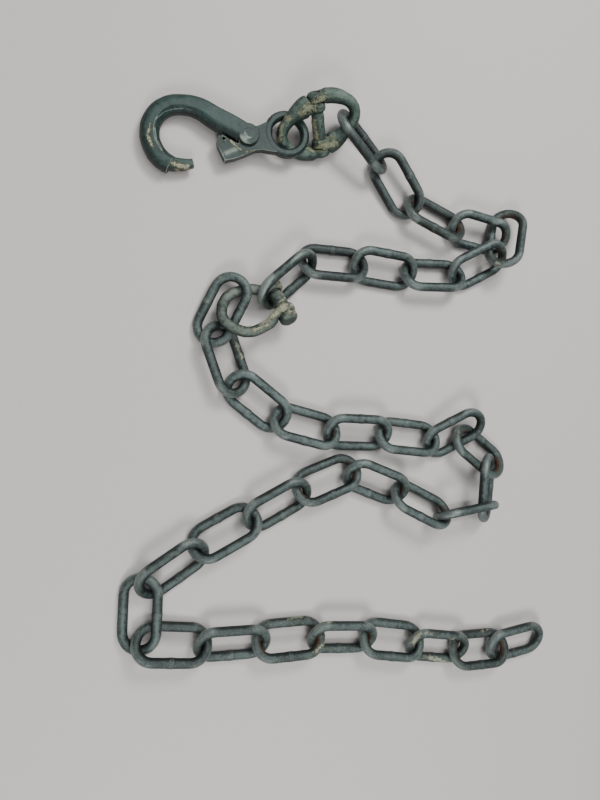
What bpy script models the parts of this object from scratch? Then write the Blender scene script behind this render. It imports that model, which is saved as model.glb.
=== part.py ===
"""Long-link steel chain with a safety hook, a coupling link and a shackle, laid in a zigzag.

Every link is one closed ring of round bar. The places, headings and leans of the links are read
off the photograph by eye as round numbers. They are then eased apart in small steps until every
pair of interlocked pieces clears by CLEARANCE and every piece rests on the floor or on its
neighbour, so the lay follows from the named sizes and can be rebuilt with other ones.
Units are metres, X runs to the right of the photograph, Y up it and Z up from the floor.
"""
import math

import bmesh
import bpy
import numpy as np

# The chain
WIRE_DIAMETER = 0.0102
LINK_OUTER_LENGTH = 0.090
LINK_OUTER_WIDTH = 0.0485
WIRE_SIDES = 10
CROWN_STEPS = 6

# The gap kept wherever one piece touches another, and the reach of a tool that goes right through
CLEARANCE = 0.0003
THROUGH = 0.06

# The hook body and the eye piece it turns on
HOOK_REACH = 0.1075
HOOK_THICKNESS = 0.020
HOOK_CHAMFER = 0.0018
HOOK_SQUARENESS = 0.78
HOOK_BOSS_RADIUS = 0.012
EYE_PLATE_THICKNESS = 0.0104
EYE_RING_THICKNESS = 0.011
EYE_OUTER_RADIUS = 0.0265
EYE_HOLE_RADIUS = 0.017
EYE_CHAMFER = 0.0025
EYE_OFFSET = 0.044
EYE_RISE = 0.0085
PLATE_TONGUE_RADIUS = 0.0115
HOOK_SLOT_RADIUS = 0.0145
RIVET_RADIUS = 0.005
RIVET_PLAY = 0.00007
RIVET_SIDES = 24
RIVET_HEAD_RADIUS = 0.0074
RIVET_HEAD_HEIGHT = 0.0012
TRIGGER_HOLE_RADIUS = 0.0017
HOOK_TILT_DEGREES = 3.3

# The coupling link, two forged halves on a load pin with a bush between their inner lugs
COUPLING_BAR_RADIUS = 0.0065
COUPLING_ARM_SWELL = 0.0008
COUPLING_REACH = 0.0445
LUG_RADIUS = 0.0098
LUG_WIDTH = 0.0100
LUG_CHAMFER = 0.0022
LUG_ROOM = 0.0008
OUTER_LUG_OFFSET = 0.0300
INNER_LUG_OFFSET = 0.0195
BUSH_RADIUS = 0.0068
LOAD_PIN_RADIUS = 0.0052
PIN_CHAMFER = 0.0008
COUPLING_HEADING_DEGREES = 22
COUPLING_LEAN_DEGREES = 23
COUPLING_TIP_DEGREES = 8

# The bow shackle and its bolt
SHACKLE_BAR_RADIUS = 0.0060
SHACKLE_REACH = 0.069
SHACKLE_HALF_WIDTH = 0.0280
SHACKLE_JAW_HALF = 0.0165
SHACKLE_EYE_RADIUS = 0.0118
SHACKLE_EYE_WIDTH = 0.0114
BOLT_RADIUS = 0.0063
BOLT_HEAD_RADIUS = 0.0108
BOLT_HEAD_HEIGHT = 0.0085
BOLT_PROUD = 0.0015
BOLT_CHAMFER = 0.001
SHACKLE_HEADING_DEGREES = 21
SHACKLE_LEAN_DEGREES = -26

# The lay, read by eye in steps of LAY_STEPS to one pitch of the chain
LAY_STEPS = 69.6
HOOK_PIVOT_PLACE = (129, 295)
COUPLING_PLACE = (208, 312)
SHACKLE_PLACE = (174, 113)

# Each link's steps right and up, then its heading, lean and tip in whole degrees
# A lean above zero lifts the left-hand side of the link, looking along its heading
LAY = (
    (271, 313, -50, -38), (318, 270, -56, 30), (370, 233, -22, -28), (439, 225, -8, 38),
    (471, 219, -110, 38, 20), (437, 181, -149, -28), (371, 161, -178, 30), (303, 165, 175, -26),
    (237, 164, 179, 26), (176, 139, -141, -66),
    (106, 98, -116, 26), (113, 43, -70, -28), (148, -2, -38, 20), (208, -32, -15, -24),
    (275, -37, 1, 30), (342, -42, -7, -28), (409, -29, 35, 14, 8), (452, -63, -35, -24),
    (458, -106, -92, -42), (424, -135, -174, -62, 8), (366, -126, 149, 50), (302, -96, 155, -24),
    (240, -93, -157, 26), (180, -121, -150, -26), (117, -152, -153, 26), (60, -190, -149, -28),
    (25, -239, -89, 24), (64, -275, -3, -28), (129, -279, -2, 26), (197, -280, 1, -26),
    (265, -283, -5, 27), (333, -293, -8, -26), (398, -308, -9, 22), (459, -318, 0, -24),
    (515, -313, 7, 18),
)
LINKS_BEFORE_SHACKLE = 10
EASING_STEPS = 240
EASING_DROP = 0.00002
SAMPLE_SPACING = 0.0022
BALL_MARGIN = 0.0009

NAME = "chain_with_hook"
CUTTERS = "chain_cutters"


def lay_step():
    """Length of one step of the lay, which keeps the links as far apart as their size allows."""
    return (LINK_OUTER_LENGTH - 2 * WIRE_DIAMETER) / LAY_STEPS


def rotation(heading, lean, tip=0.0):
    """Turns a piece to its heading, lean and tip, all in degrees."""
    h, a, p = (math.radians(value) for value in (heading, lean, tip))
    about_z = np.array([[math.cos(h), -math.sin(h), 0], [math.sin(h), math.cos(h), 0], [0, 0, 1]])
    about_y = np.array([[math.cos(p), 0, -math.sin(p)], [0, 1, 0], [math.sin(p), 0, math.cos(p)]])
    about_x = np.array([[1, 0, 0], [0, math.cos(a), -math.sin(a)], [0, math.sin(a), math.cos(a)]])
    return about_z @ about_y @ about_x


def ring_stations():
    """Centre and outward direction at each section of the link's mesh."""
    radius = (LINK_OUTER_WIDTH - WIRE_DIAMETER) / 2
    half = (LINK_OUTER_LENGTH - LINK_OUTER_WIDTH) / 2
    stations = []
    for end in (1, -1):
        for k in range(CROWN_STEPS + 1):
            a = -math.pi / 2 + math.pi * k / CROWN_STEPS
            out = (end * math.cos(a), end * math.sin(a))
            stations.append(((end * half + radius * out[0], radius * out[1]), out))
    return stations


def ring_samples():
    """Closely spaced points of the link's own faceted centre line, for the easing."""
    corners = [centre for centre, _ in ring_stations()]
    return dense(corners + corners[:1])[:-1]


def coupling_path():
    """Centre line of one coupling half, from its outer lug round the bow to its inner lug."""
    middle = (OUTER_LUG_OFFSET - INNER_LUG_OFFSET) / 2
    half = (OUTER_LUG_OFFSET + INNER_LUG_OFFSET) / 2
    points = [(0.0, OUTER_LUG_OFFSET)]
    for k in range(1, 16):
        t = math.pi * k / 16
        points.append((COUPLING_REACH * math.sin(t) ** 0.85, middle + half * math.cos(t)))
    return points + [(0.0, -INNER_LUG_OFFSET)]


def coupling_arm_radii(path):
    """Radius of the forged half at each point: round at the bow's end and fuller towards the lugs."""
    return [COUPLING_BAR_RADIUS + COUPLING_ARM_SWELL * (1.0 - x / COUPLING_REACH) ** 2 for x, _ in path]


def bow_outline():
    """The omega-shaped bow: narrow at the eyes, widest two thirds of the way to the crown."""
    jaw = SHACKLE_JAW_HALF
    wide = SHACKLE_HALF_WIDTH
    reach = SHACKLE_REACH
    half = [
        (0.0, jaw), (-0.16 * reach, 1.08 * jaw), (-0.32 * reach, 0.30 * jaw + 0.72 * wide),
        (-0.50 * reach, 0.97 * wide), (-0.64 * reach, wide), (-0.78 * reach, 0.88 * wide),
        (-0.90 * reach, 0.60 * wide), (-0.98 * reach, 0.25 * wide),
    ]
    return half + [(-reach, 0.0)] + [(x, -y) for x, y in reversed(half)]


class Piece:
    """A stiff piece for the easing: its centre-line points, their radii and its pose."""

    def __init__(self, name, points, radii, place, turn, fixed=False):
        self.name = name
        self.local = np.array(points, dtype=float)
        self.radii = np.broadcast_to(np.array(radii, dtype=float), (len(self.local),)).copy()
        self.turn = turn
        self.place = np.array(place, dtype=float)
        self.fixed = fixed
        spread = sum((p @ p) * np.eye(3) - np.outer(p, p) for p in self.local) / len(self.local)
        self.ease_of_turn = np.linalg.inv(spread + np.eye(3) * 1e-6)
        self.update()

    def update(self):
        """Moves the points to the present pose."""
        self.points = self.local @ self.turn.T + self.place

    def rest(self):
        """Lowers or lifts the piece until its lowest point is on the floor."""
        self.place[2] -= (self.points[:, 2] - self.radii).min()
        self.update()

    def yielding(self, point, normal):
        """How readily the piece gives way at a point along a direction."""
        if self.fixed:
            return 0.0
        arm = np.cross(point - self.place, normal)
        return 1.0 + arm @ (self.turn @ self.ease_of_turn @ self.turn.T) @ arm

    def push(self, point, normal, share):
        """Shifts and turns the piece a little, as a push at the point would."""
        if self.fixed:
            return
        arm = np.cross(point - self.place, normal)
        spin = (self.turn @ self.ease_of_turn @ self.turn.T) @ arm * share
        self.place = self.place + normal * share
        angle = np.linalg.norm(spin)
        if angle > 1e-12:
            k = spin / angle
            cross = np.array([[0, -k[2], k[1]], [k[2], 0, -k[0]], [-k[1], k[0], 0]])
            step = np.eye(3) + math.sin(angle) * cross + (1 - math.cos(angle)) * cross @ cross
            self.turn = step @ self.turn
        self.update()


def part_pair(first, second):
    """Pushes two pieces apart where they come closer than CLEARANCE."""
    gaps = np.sqrt(((first.points[:, None, :] - second.points[None, :, :]) ** 2).sum(2))
    free = gaps - first.radii[:, None] - second.radii[None, :]
    i, j = divmod(int(free.argmin()), free.shape[1])
    lack = CLEARANCE - free[i, j]
    if lack <= 0:
        return False
    normal = (first.points[i] - second.points[j]) / max(gaps[i, j], 1e-9)
    one = first.points[i].copy()
    other = second.points[j].copy()
    total = first.yielding(one, normal) + second.yielding(other, normal)
    if total > 0:
        first.push(one, normal, lack / total)
        second.push(other, -normal, lack / total)
    return True


def keep_above_floor(piece):
    """Lifts the end of a piece that has sunk below the floor."""
    along = (piece.points - piece.place) @ piece.turn[:, 0]
    up = np.array([0.0, 0.0, 1.0])
    for half in (along > 0, along <= 0):
        index = np.where(half)[0]
        if len(index) == 0:
            continue
        low = index[(piece.points[index, 2] - piece.radii[index]).argmin()]
        depth = piece.radii[low] - piece.points[low, 2]
        if depth > 0:
            point = piece.points[low].copy()
            piece.push(point, up, depth / piece.yielding(point, up))


def ease(pieces, pairs):
    """Lets the pieces down gently and parts every pair until all of them clear."""
    for step in range(EASING_STEPS):
        for piece in pieces:
            if not piece.fixed and step < EASING_STEPS * 0.8:
                piece.place[2] -= EASING_DROP
                piece.update()
        for first, second in pairs:
            if part_pair(first, second):
                part_pair(first, second)
        for piece in pieces:
            if not piece.fixed:
                keep_above_floor(piece)


def hook_turn():
    """The small tilt of the hook, which lies on its bend and on the coupling link."""
    return rotation(0.0, 0.0, HOOK_TILT_DEGREES)


def hook_place():
    """Height of the pivot that leaves the hook's bend just on the floor."""
    low = hook_turn() @ np.array([-HOOK_REACH, 0.0, -HOOK_THICKNESS / 2])
    return np.array([HOOK_PIVOT_PLACE[0] * lay_step(), HOOK_PIVOT_PLACE[1] * lay_step(), CLEARANCE - low[2]])


def eye_piece():
    """The hook's eye as the easing sees it: it keeps its place."""
    middle = (EYE_OUTER_RADIUS + EYE_HOLE_RADIUS) / 2
    angles = np.linspace(0, 2 * math.pi, 48, endpoint=False)
    circle = [(EYE_OFFSET + middle * math.cos(a), EYE_RISE + middle * math.sin(a), 0.0) for a in angles]
    return Piece("eye", circle, EYE_RING_THICKNESS / 2 + BALL_MARGIN, hook_place(), hook_turn(), fixed=True)


def resting(name, balls, place, turn):
    """A free piece made of balls, let down on the floor at its place in the lay."""
    centres = [ball[:3] for ball in balls]
    radii = [ball[3] for ball in balls]
    x, y = (value * lay_step() for value in place)
    piece = Piece(name, centres, radii, (x, y, LINK_OUTER_WIDTH), turn)
    piece.rest()
    return piece


def coupling_piece():
    """The coupling link as the easing sees it: both bows, their four lugs and the bush."""
    bow = dense(coupling_path())
    balls = [(x, y, 0.0, r) for (x, y), r in zip(bow, coupling_arm_radii(bow))]
    balls += [(-x, -y, 0.0, r) for x, y, _, r in balls]
    for y in (OUTER_LUG_OFFSET, INNER_LUG_OFFSET, -INNER_LUG_OFFSET, -OUTER_LUG_OFFSET):
        balls += disc_balls(y, LUG_RADIUS, LUG_WIDTH)
    reach = INNER_LUG_OFFSET - BUSH_RADIUS
    balls += [(0.0, y, 0.0, BUSH_RADIUS) for y in np.linspace(-reach, reach, 7)]
    turn = rotation(COUPLING_HEADING_DEGREES, COUPLING_LEAN_DEGREES, COUPLING_TIP_DEGREES)
    return resting("coupling", balls, COUPLING_PLACE, turn)


def shackle_piece():
    """The shackle as the easing sees it: the bow, its two eyes, the bolt and the bolt's head."""
    balls = [(x, y, 0.0, SHACKLE_BAR_RADIUS) for x, y in dense(bow_outline())]
    for y in (SHACKLE_JAW_HALF, -SHACKLE_JAW_HALF):
        balls += disc_balls(y, SHACKLE_EYE_RADIUS, SHACKLE_EYE_WIDTH)
    reach = SHACKLE_JAW_HALF - BOLT_RADIUS
    balls += [(0.0, y, 0.0, BOLT_RADIUS) for y in np.linspace(-reach, reach, 8)]
    head = -SHACKLE_JAW_HALF - (SHACKLE_EYE_WIDTH + BOLT_HEAD_HEIGHT) / 2 - CLEARANCE
    balls += disc_balls(head, BOLT_HEAD_RADIUS, BOLT_HEAD_HEIGHT)
    turn = rotation(SHACKLE_HEADING_DEGREES, SHACKLE_LEAN_DEGREES)
    return resting("shackle", balls, SHACKLE_PLACE, turn)


def touching_pairs(eye, coupling, shackle, links):
    """Every two pieces that lie near enough to touch."""
    last = LINKS_BEFORE_SHACKLE
    pairs = [(eye, coupling), (coupling, links[0]), (links[last - 1], links[last])]
    pairs += [(one, other) for i, (one, other) in enumerate(zip(links, links[1:]), start=1) if i != last]
    pairs += list(zip(links, links[2:]))
    pairs += [(shackle, link) for link in links[last - 2:last + 2]]
    return pairs


def lay_out():
    """Places every piece: the hook's eye, the coupling, the shackle and all the links."""
    eye, coupling, shackle = eye_piece(), coupling_piece(), shackle_piece()
    ring = [(x, y, 0.0, WIRE_DIAMETER / 2) for x, y in ring_samples()]
    links = [resting(f"link_{number:02d}", ring, (x, y), rotation(*angles))
             for number, (x, y, *angles) in enumerate(LAY, start=1)]
    pieces = [eye, coupling, shackle] + links
    ease(pieces, touching_pairs(eye, coupling, shackle, links))
    return {piece.name: piece for piece in pieces}


def disc_balls(y, radius, width):
    """Balls round the rim of a disc that lies across the local Y axis, for the easing."""
    ball = width / 2
    reach = radius - ball
    angles = np.linspace(0, 2 * math.pi, 16, endpoint=False)
    return [(reach * math.cos(a), y, reach * math.sin(a), ball + BALL_MARGIN) for a in angles]


def dense(path):
    """Points closely spaced along a path, for the easing."""
    out = []
    for (x0, y0), (x1, y1) in zip(path, path[1:]):
        count = max(1, int(math.hypot(x1 - x0, y1 - y0) / SAMPLE_SPACING))
        for k in range(count):
            out.append((x0 + (x1 - x0) * k / count, y0 + (y1 - y0) * k / count))
    out.append(path[-1])
    return out


def clear_scene():
    """Removes whatever the new file holds."""
    for item in list(bpy.data.objects):
        bpy.data.objects.remove(item, do_unlink=True)


def collection(name):
    """A collection linked to the scene."""
    group = bpy.data.collections.new(name)
    bpy.context.scene.collection.children.link(group)
    return group


def material(name, colour, metallic, roughness):
    """A plain Principled material."""
    made = bpy.data.materials.new(name)
    made.use_nodes = True
    shader = made.node_tree.nodes["Principled BSDF"]
    shader.inputs["Base Color"].default_value = (*colour, 1.0)
    shader.inputs["Metallic"].default_value = metallic
    shader.inputs["Roughness"].default_value = roughness
    return made


def add_mesh(name, vertices, faces, turn, place, group, finish):
    """Makes an object from local vertices, set to its place in the mesh itself."""
    world = np.array(vertices) @ np.array(turn).T + np.array(place)
    mesh = bpy.data.meshes.new(name)
    mesh.from_pydata([tuple(v) for v in world], [], [tuple(f) for f in faces])
    mesh.validate()
    item = bpy.data.objects.new(name, mesh)
    group.objects.link(item)
    outward(item)
    if finish is not None:
        mesh.materials.append(finish)
    return item


def outward(item):
    """Turns every face of a closed mesh to point out."""
    work = bmesh.new()
    work.from_mesh(item.data)
    bmesh.ops.recalc_face_normals(work, faces=work.faces)
    work.to_mesh(item.data)
    work.free()


def tube(stations, sides, closed, squareness=1.0):
    """A bar along planar stations of centre, outward direction, half-width and half-height.

    A squareness of 1 is round, and smaller values square the section's corners up.
    """
    vertices = []
    for centre, out, wide, high in stations:
        for k in range(sides):
            a = 2 * math.pi * (k + 0.5) / sides
            reach = wide * math.copysign(abs(math.cos(a)) ** squareness, math.cos(a))
            level = high * math.copysign(abs(math.sin(a)) ** squareness, math.sin(a))
            vertices.append((centre[0] + out[0] * reach, centre[1] + out[1] * reach, level))
    faces = []
    count = len(stations)
    for s in range(count if closed else count - 1):
        n = (s + 1) % count
        for k in range(sides):
            m = (k + 1) % sides
            faces.append((s * sides + k, s * sides + m, n * sides + m, n * sides + k))
    if not closed:
        faces.append(tuple(range(sides - 1, -1, -1)))
        faces.append(tuple((count - 1) * sides + k for k in range(sides)))
    return vertices, faces


def path_stations(path, wide, high):
    """Stations along an open planar path, each square to it."""
    stations = []
    for i, (x, y) in enumerate(path):
        ahead = path[min(i + 1, len(path) - 1)]
        behind = path[max(i - 1, 0)]
        dx, dy = ahead[0] - behind[0], ahead[1] - behind[1]
        length = math.hypot(dx, dy)
        w = wide[i] if isinstance(wide, (list, tuple)) else wide
        h = high[i] if isinstance(high, (list, tuple)) else high
        stations.append(((x, y), (-dy / length, dx / length), w, h))
    return stations


def cylinder(radius, start, end, sides):
    """A round bar between two points."""
    a, b = np.array(start, dtype=float), np.array(end, dtype=float)
    axis = (b - a) / np.linalg.norm(b - a)
    helper = np.array([1.0, 0.0, 0.0]) if abs(axis[0]) < 0.9 else np.array([0.0, 1.0, 0.0])
    u = np.cross(axis, helper)
    u /= np.linalg.norm(u)
    v = np.cross(axis, u)
    vertices = []
    for centre in (a, b):
        for k in range(sides):
            t = 2 * math.pi * k / sides
            vertices.append(tuple(centre + radius * (math.cos(t) * u + math.sin(t) * v)))
    faces = [(k, (k + 1) % sides, sides + (k + 1) % sides, sides + k) for k in range(sides)]
    faces += [tuple(range(sides - 1, -1, -1)), tuple(range(sides, 2 * sides))]
    return vertices, faces


def turned(profile, axis_start, axis, sides):
    """A solid of revolution from pairs of distance along the axis and radius."""
    start = np.array(axis_start, dtype=float)
    along = np.array(axis, dtype=float)
    helper = np.array([1.0, 0.0, 0.0]) if abs(along[0]) < 0.9 else np.array([0.0, 1.0, 0.0])
    u = np.cross(along, helper)
    u /= np.linalg.norm(u)
    v = np.cross(along, u)
    vertices = []
    for distance, radius in profile:
        for k in range(sides):
            t = 2 * math.pi * k / sides
            vertices.append(tuple(start + along * distance + radius * (math.cos(t) * u + math.sin(t) * v)))
    faces = []
    for s in range(len(profile) - 1):
        for k in range(sides):
            m = (k + 1) % sides
            faces.append((s * sides + k, s * sides + m, (s + 1) * sides + m, (s + 1) * sides + k))
    last = (len(profile) - 1) * sides
    faces += [tuple(range(sides - 1, -1, -1)), tuple(last + k for k in range(sides))]
    return vertices, faces


def chamfered(half, radius, chamfer):
    """Profile of a disc of the given half-thickness with its two rims chamfered."""
    return ((-half, radius - chamfer), (-half + chamfer, radius), (half - chamfer, radius),
            (half, radius - chamfer))


def combine(target, tool, operation):
    """Joins a tool to the target or cuts it away, exactly."""
    modifier = target.modifiers.new(operation.lower(), "BOOLEAN")
    modifier.operation = operation
    modifier.solver = "EXACT"
    modifier.object = tool


def cutter(name, shape, turn, place, group):
    """A tool body, kept in its own collection and shown as wires."""
    item = add_mesh(name, *shape, turn, place, group, None)
    item.hide_render = True
    item.display_type = "WIRE"
    return item


def build_links(poses, group, finish):
    """One ring of round bar for each link of the chain."""
    stations = [(c, out, WIRE_DIAMETER / 2, WIRE_DIAMETER / 2) for c, out in ring_stations()]
    shape = tube(stations, WIRE_SIDES, True)
    for name, pose in poses.items():
        if name.startswith("link_"):
            add_mesh(name, *shape, pose.turn, pose.place, group, finish)


def spline(rows, per_span):
    """A smooth run through hand-set rows, every column eased alike."""
    rows = [np.array(row, dtype=float) for row in rows]
    out = []
    for i in range(len(rows) - 1):
        before = rows[max(i - 1, 0)]
        here, there = rows[i], rows[i + 1]
        after = rows[min(i + 2, len(rows) - 1)]
        for k in range(per_span):
            t = k / per_span
            out.append(0.5 * (2 * here + (there - before) * t
                              + (2 * before - 5 * here + 4 * there - after) * t * t
                              + (3 * here - before - 3 * there + after) * t ** 3))
    out.append(rows[-1])
    return out


def in_hook_units(rows):
    """Rows typed in thousandths of the hook's reach, turned to metres."""
    return [tuple(value * HOOK_REACH / 1000 for value in row) for row in rows]


def hook_rows():
    """Stations of the hook body from its boss round the bend to the nose: x, y, width, thickness."""
    return in_hook_units((
        (0, 0, 219, 186), (-149, 65, 223, 186), (-335, 135, 228, 186), (-530, 219, 205, 186),
        (-688, 228, 191, 186), (-847, 181, 191, 186), (-958, 65, 195, 186), (-1000, -93, 200, 186),
        (-958, -251, 200, 186), (-865, -358, 195, 186), (-781, -400, 186, 177),
    ))


def nose_rows():
    """Stations of the slimmer nose, which is stepped in on its outer side."""
    return in_hook_units(((-828, -383, 140, 140), (-707, -386, 124, 126), (-590, -365, 112, 118),
                          (-553, -353, 78, 88)))


def build_hook(groups, finishes):
    """The hook body, the eye piece and the rivet that joins them."""
    turn, place = hook_turn(), hook_place()
    rows = spline(hook_rows(), 2)
    path = [(row[0], row[1]) for row in rows]
    stations = path_stations(path, [row[2] / 2 for row in rows], [row[3] / 2 for row in rows])
    shape = tube(stations, 16, False, HOOK_SQUARENESS)
    body = add_mesh("hook_body", *shape, turn, place, groups["parts"], finishes["hook"])
    nose = spline(nose_rows(), 2)
    path = [(row[0], row[1]) for row in nose]
    stations = path_stations(path, [row[2] / 2 for row in nose], [row[3] / 2 for row in nose])
    shape = tube(stations, 16, False, HOOK_SQUARENESS)
    combine(body, cutter("nose_tool", shape, turn, place, groups["tools"]), "UNION")
    half = HOOK_THICKNESS / 2
    boss = turned(chamfered(half, HOOK_BOSS_RADIUS, HOOK_CHAMFER), (0, 0, 0), (0, 0, 1), 20)
    combine(body, cutter("boss_tool", boss, turn, place, groups["tools"]), "UNION")
    gap = EYE_PLATE_THICKNESS / 2 + CLEARANCE
    slot = cylinder(HOOK_SLOT_RADIUS, (0, 0, -gap), (0, 0, gap), 28)
    combine(body, cutter("slot_tool", slot, turn, place, groups["tools"]), "DIFFERENCE")
    bore = cylinder(RIVET_RADIUS + RIVET_PLAY, (0, 0, -THROUGH), (0, 0, THROUGH), RIVET_SIDES)
    bore_tool = cutter("rivet_bore_tool", bore, turn, place, groups["tools"])
    combine(body, bore_tool, "DIFFERENCE")
    build_eye_piece(turn, place, groups, finishes, bore_tool)
    head = half + CLEARANCE
    top = head + RIVET_HEAD_HEIGHT
    dome = head + RIVET_HEAD_HEIGHT * 0.55
    profile = ((-top, RIVET_HEAD_RADIUS * 0.55), (-dome, RIVET_HEAD_RADIUS * 0.9), (-head, RIVET_HEAD_RADIUS),
               (-head, RIVET_RADIUS), (head, RIVET_RADIUS), (head, RIVET_HEAD_RADIUS),
               (dome, RIVET_HEAD_RADIUS * 0.9), (top, RIVET_HEAD_RADIUS * 0.55))
    rivet = turned(profile, (0, 0, 0), (0, 0, 1), RIVET_SIDES)
    add_mesh("hook_rivet", *rivet, turn, place, groups["parts"], finishes["hook"])


def plate_outline():
    """Outline of the eye piece's plate: the short latch arm, the neck and the rounded tongue."""
    lower = in_hook_units(((-321, -144), (-237, -298), (-130, -260), (-28, -209), (74, -149), (149, -130),
                           (214, -135), (307, -135)))
    upper = in_hook_units(((307, 186), (186, 172), (121, 130), (56, 98)))
    tongue = [(PLATE_TONGUE_RADIUS * math.cos(a), PLATE_TONGUE_RADIUS * math.sin(a))
              for a in (math.radians(d) for d in (80, 105, 130, 155, 180, 205))]
    latch = in_hook_units(((-102, -107), (-149, -86), (-270, -33), (-312, -51), (-326, -98)))
    return lower + upper + tongue + latch


def slab(outline, thickness):
    """A flat plate of the given outline."""
    count = len(outline)
    vertices = [(x, y, z) for z in (-thickness / 2, thickness / 2) for x, y in outline]
    faces = [(k, (k + 1) % count, count + (k + 1) % count, count + k) for k in range(count)]
    faces += [tuple(range(count - 1, -1, -1)), tuple(range(count, 2 * count))]
    return vertices, faces


def build_eye_piece(turn, place, groups, finishes, bore_tool):
    """The plate with the lifting eye at one end and the short latch arm at the other."""
    plate = add_mesh("hook_eye_piece", *slab(plate_outline(), EYE_PLATE_THICKNESS), turn, place,
                     groups["parts"], finishes["hook"])
    half = EYE_RING_THICKNESS / 2
    centre = (EYE_OFFSET, EYE_RISE, 0)
    disc = turned(chamfered(half, EYE_OUTER_RADIUS, EYE_CHAMFER), centre, (0, 0, 1), 32)
    combine(plate, cutter("eye_tool", disc, turn, place, groups["tools"]), "UNION")
    wide = EYE_HOLE_RADIUS + EYE_CHAMFER + CLEARANCE
    hole = turned(((-half - CLEARANCE, wide), (-half + EYE_CHAMFER, EYE_HOLE_RADIUS),
                   (half - EYE_CHAMFER, EYE_HOLE_RADIUS), (half + CLEARANCE, wide)), centre, (0, 0, 1), 28)
    combine(plate, cutter("eye_hole_tool", hole, turn, place, groups["tools"]), "DIFFERENCE")
    combine(plate, bore_tool, "DIFFERENCE")
    (x, y), = in_hook_units(((-256, -70),))
    pin = cylinder(TRIGGER_HOLE_RADIUS, (x, y, -THROUGH), (x, y, THROUGH), 10)
    combine(plate, cutter("trigger_hole_tool", pin, turn, place, groups["tools"]), "DIFFERENCE")


def build_coupling(pose, groups, finishes):
    """Two identical forged halves, the load pin through their lugs and the bush between."""
    for name, heading in (("coupling_half_right", 0.0), ("coupling_half_left", 180.0)):
        build_coupling_half(name, pose.turn @ rotation(heading, 0.0), pose.place, groups, finishes)
    end = OUTER_LUG_OFFSET + LUG_WIDTH / 2 - CLEARANCE
    pin = turned(chamfered(end, LOAD_PIN_RADIUS, PIN_CHAMFER), (0, 0, 0), (0, 1, 0), 14)
    add_mesh("coupling_load_pin", *pin, pose.turn, pose.place, groups["parts"], finishes["coupling"])
    reach = INNER_LUG_OFFSET - LUG_WIDTH / 2 - CLEARANCE
    bush = turned(chamfered(reach, BUSH_RADIUS, PIN_CHAMFER), (0, 0, 0), (0, 1, 0), 18)
    item = add_mesh("coupling_bush", *bush, pose.turn, pose.place, groups["parts"], finishes["coupling"])
    bore = cylinder(LOAD_PIN_RADIUS + CLEARANCE, (0, -THROUGH, 0), (0, THROUGH, 0), 14)
    combine(item, cutter("bush_bore_tool", bore, pose.turn, pose.place, groups["tools"]), "DIFFERENCE")


def build_coupling_half(name, turn, place, groups, finishes):
    """One forged half: a bow with an outer lug at one end and an inner lug at the other."""
    path = coupling_path()
    bar = coupling_arm_radii(path)
    shape = tube(path_stations(path, bar, bar), 10, False)
    half = add_mesh(name, *shape, turn, place, groups["parts"], finishes["coupling"])
    w = LUG_WIDTH / 2
    for label, y in (("outer", OUTER_LUG_OFFSET), ("inner", -INNER_LUG_OFFSET)):
        lug = turned(chamfered(w, LUG_RADIUS, LUG_CHAMFER), (0, y, 0), (0, 1, 0), 18)
        combine(half, cutter(f"{name}_{label}_lug_tool", lug, turn, place, groups["tools"]), "UNION")
    skim = CLEARANCE / 10
    between = (-INNER_LUG_OFFSET + w + skim, OUTER_LUG_OFFSET - w - skim)
    beyond = (-THROUGH, -INNER_LUG_OFFSET - w - skim)
    for label, (low, high) in (("between", between), ("beyond", beyond)):
        room = cylinder(LUG_RADIUS + LUG_ROOM, (0, low, 0), (0, high, 0), 18)
        combine(half, cutter(f"{name}_{label}_tool", room, turn, place, groups["tools"]), "DIFFERENCE")
    bore = cylinder(LOAD_PIN_RADIUS + CLEARANCE, (0, -THROUGH, 0), (0, THROUGH, 0), 14)
    combine(half, cutter(f"{name}_bore_tool", bore, turn, place, groups["tools"]), "DIFFERENCE")


def build_shackle(pose, groups, finishes):
    """The bow with its two eyes and the headed bolt through them."""
    path = bow_outline()
    bar = SHACKLE_BAR_RADIUS
    bow = add_mesh("shackle_bow", *tube(path_stations(path, bar, bar), 10, False), pose.turn, pose.place,
                   groups["parts"], finishes["shackle"])
    w = SHACKLE_EYE_WIDTH / 2
    for side in (1, -1):
        y = side * SHACKLE_JAW_HALF
        eye = turned(chamfered(w, SHACKLE_EYE_RADIUS, LUG_CHAMFER), (0, y, 0), (0, 1, 0), 18)
        label = "upper" if side > 0 else "lower"
        tool = cutter(f"shackle_{label}_eye_tool", eye, pose.turn, pose.place, groups["tools"])
        combine(bow, tool, "UNION")
    face = -SHACKLE_JAW_HALF - w - CLEARANCE
    seat = cylinder(SHACKLE_EYE_RADIUS + LUG_ROOM, (0, -THROUGH, 0), (0, face + CLEARANCE * 0.9, 0), 18)
    combine(bow, cutter("bolt_seat_tool", seat, pose.turn, pose.place, groups["tools"]), "DIFFERENCE")
    bore = cylinder(BOLT_RADIUS + CLEARANCE, (0, -THROUGH, 0), (0, THROUGH, 0), 14)
    combine(bow, cutter("shackle_bore_tool", bore, pose.turn, pose.place, groups["tools"]), "DIFFERENCE")
    end = SHACKLE_JAW_HALF + w + BOLT_PROUD
    profile = ((face - BOLT_HEAD_HEIGHT, BOLT_HEAD_RADIUS * 0.72),
               (face - BOLT_HEAD_HEIGHT * 0.65, BOLT_HEAD_RADIUS),
               (face, BOLT_HEAD_RADIUS), (face, BOLT_RADIUS),
               (end - BOLT_CHAMFER, BOLT_RADIUS), (end, BOLT_RADIUS - BOLT_CHAMFER))
    add_mesh("shackle_bolt", *turned(profile, (0, 0, 0), (0, 1, 0), 14), pose.turn, pose.place,
             groups["parts"], finishes["shackle"])


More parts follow.
